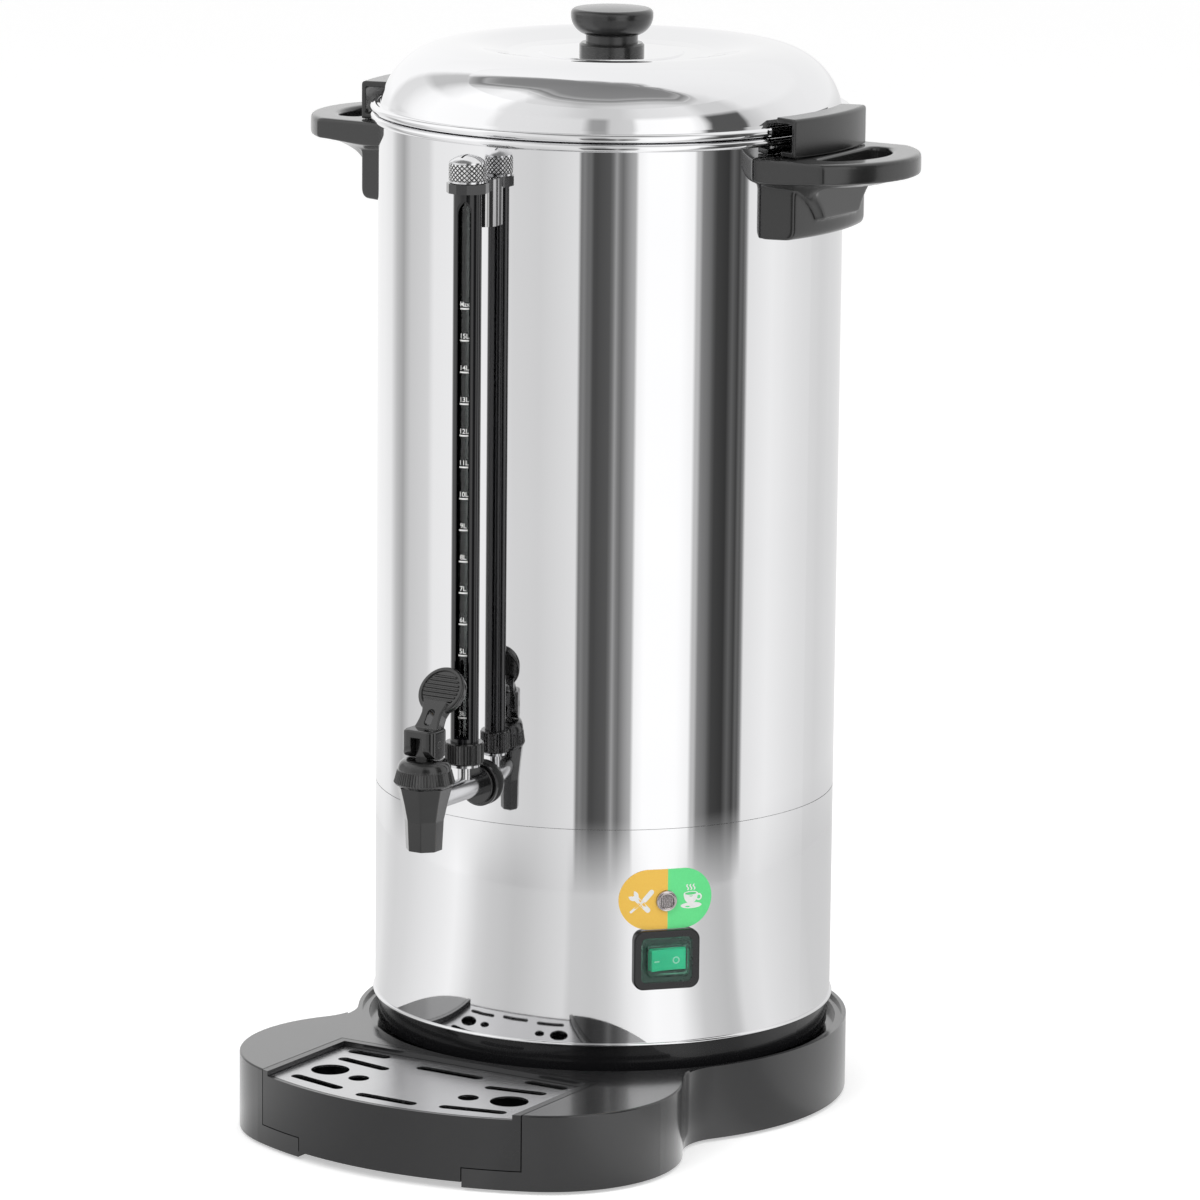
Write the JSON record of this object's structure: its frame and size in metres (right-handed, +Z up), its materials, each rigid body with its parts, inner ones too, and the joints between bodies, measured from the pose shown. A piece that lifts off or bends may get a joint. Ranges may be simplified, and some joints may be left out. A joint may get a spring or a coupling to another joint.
{
  "type": "coffee urn",
  "caption": "Tall steel percolator urn with lift-off lid, level gauge, lever tap and a black base with sliding drip tray.",
  "frame": {"origin": "on the floor, on the tank's upright axis, at the underside of the base's central foot", "axes": "+Z up along the tank's axis, -Y towards the tap and the drip tray, +X to the right seen from the front"},
  "size_m": [0.391, 0.39, 0.6384],
  "materials": {
    "base_plastic": "moulded black plastic, glossy deck, satin sides",
    "tray_plastic": "moulded black plastic",
    "black_plastic": "black heat-resistant plastic",
    "handle_plastic": "black phenolic, semi-gloss",
    "tap_plastic": "black moulded plastic, glossy",
    "rocker_plastic": "bright green plastic, glossy",
    "guard_black": "glossy black tube",
    "black_steel": "blackened steel",
    "boot_plastic": "clear green soft cover",
    "lens_plastic": "grey lens with a fine honeycomb",
    "rubber_black": "black rubber",
    "silicone": "translucent silicone",
    "tank_steel": "mirror-polished stainless steel",
    "lid_steel": "mirror-polished stainless steel",
    "inner_steel": "satin stainless steel",
    "grate_steel": "satin stainless steel",
    "element_steel": "heat-tinted steel",
    "zinc_steel": "zinc-plated steel",
    "screw_steel": "plated steel",
    "spring_steel": "spring steel",
    "sensor_metal": "bare aluminium",
    "gauge_chrome": "chrome plate",
    "tap_metal": "nickel-plated brass",
    "brass": "brass",
    "white_ceramic": "white steatite",
    "gauge_glass": "clear glass tube",
    "plate_print": "printed oval plate, orange on the left and green on the right"
  },
  "bodies": {
    "base": {"base_plinth": "base_plastic", "base_feet": "rubber_black"},
    "tray": {"drip_tray": "tray_plastic"},
    "grate": {"drip_grate": "grate_steel"},
    "urn": {"tank_shell": "tank_steel", "tank_floor": "inner_steel", "lower_band": "tank_steel", "bottom_ring": "black_plastic", "bottom_cover": "zinc_steel", "cover_screws": "screw_steel", "urn_feet": "rubber_black", "brew_heater": "element_steel", "keep_warm_heater": "element_steel", "heater_clamp": "zinc_steel", "clamp_stud": "screw_steel", "thermostat": "sensor_metal", "thermal_cutout": "sensor_metal", "terminal_block": "white_ceramic", "power_inlet": "black_plastic", "inlet_pins": "brass", "inlet_screws": "screw_steel", "handle_right": "handle_plastic", "handle_left": "handle_plastic", "lid_catch_right": "handle_plastic", "lid_catch_left": "handle_plastic", "handle_screws": "screw_steel", "tap_shank": "tap_metal", "tap_gaskets": "rubber_black", "tap_collar": "tap_plastic", "tap_nut": "tap_metal", "spout_body": "tap_plastic", "bonnet": "tap_plastic", "gauge_glass": "gauge_glass", "gauge_guard": "guard_black", "gauge_bracket": "tap_plastic", "gauge_seals": "silicone", "gauge_screw": "screw_steel", "switch_housing": "black_plastic", "switch_boot": "boot_plastic", "lamp_bezel": "gauge_chrome", "lamp_lens": "lens_plastic", "status_plate": "plate_print", "lever_pin": "black_steel"},
    "lid": {"lid_shell": "lid_steel"},
    "lever": {"tap_lever": "tap_plastic"},
    "stem": {"tap_stem": "screw_steel", "seat_cup": "silicone", "stem_spring": "spring_steel"},
    "rocker": {"rocker_switch": "rocker_plastic"},
    "gauge_cap": {"gauge_cap": "gauge_chrome"},
    "gauge_nut": {"gauge_nut": "tap_plastic"},
    "pump": {"pump_tube": "inner_steel", "pump_bell": "inner_steel"},
    "basket": {"coffee_basket": "inner_steel"},
    "spreader": {"basket_cover": "inner_steel"},
    "lid_hub": {"knob": "handle_plastic", "knob_spacer": "handle_plastic", "knob_screw": "screw_steel"}
  },
  "joints": [
    {"name": "urn_lift", "type": "slide", "parent": "base", "child": "urn", "axis": [0, 0, 1], "range_m": [0, 0.08]},
    {"name": "tray_slide", "type": "slide", "parent": "base", "child": "tray", "axis": [0, -1, 0], "range_m": [0, 0.11]},
    {"name": "grate_lift", "type": "slide", "parent": "tray", "child": "grate", "axis": [0, 0, 1], "range_m": [0, 0.05]},
    {"name": "lid_lift", "type": "slide", "parent": "urn", "child": "lid_hub", "axis": [0, 0, 1], "range_m": [0, 0.12]},
    {"name": "lid_turn", "type": "hinge", "parent": "lid_hub", "child": "lid", "pos_m": [0, 0, 0.6], "axis": [0, 0, 1], "range_deg": [0, 25]},
    {"name": "tap_lever", "type": "hinge", "parent": "urn", "child": "lever", "pos_m": [0, -0.194, 0.2415], "axis": [1, 0, 0], "range_deg": [0, 80]},
    {"name": "stem_lift", "type": "slide", "parent": "urn", "child": "stem", "axis": [0, 0, 1], "range_m": [0, 0.0039], "stiffness_N_per_m": 600, "springref_m": -0.006, "deforming": ["stem_spring"]},
    {"name": "switch_rocker", "type": "hinge", "parent": "urn", "child": "rocker", "pos_m": [0.09449, -0.08811, 0.1083], "axis": [0, 0, 1], "range_deg": [-14, 0]},
    {"name": "gauge_cap_turn", "type": "hinge", "parent": "urn", "child": "gauge_cap", "pos_m": [0, -0.1525, 0.56], "axis": [0, 0, 1], "range_deg": [0, 540]},
    {"name": "gauge_nut_turn", "type": "hinge", "parent": "urn", "child": "gauge_nut", "pos_m": [0, -0.1525, 0.23], "axis": [0, 0, 1], "range_deg": [0, 360]},
    {"name": "pump_lift", "type": "slide", "parent": "urn", "child": "pump", "axis": [0, 0, 1], "range_m": [0, 0.012]},
    {"name": "basket_lift", "type": "slide", "parent": "pump", "child": "basket", "axis": [0, 0, 1], "range_m": [0, 0.012]},
    {"name": "spreader_lift", "type": "slide", "parent": "basket", "child": "spreader", "axis": [0, 0, 1], "range_m": [0, 0.012]}
  ],
  "couplings": [
    {"joint": "tap_lever", "follows": "stem_lift", "rad_per_m": 358}
  ]
}
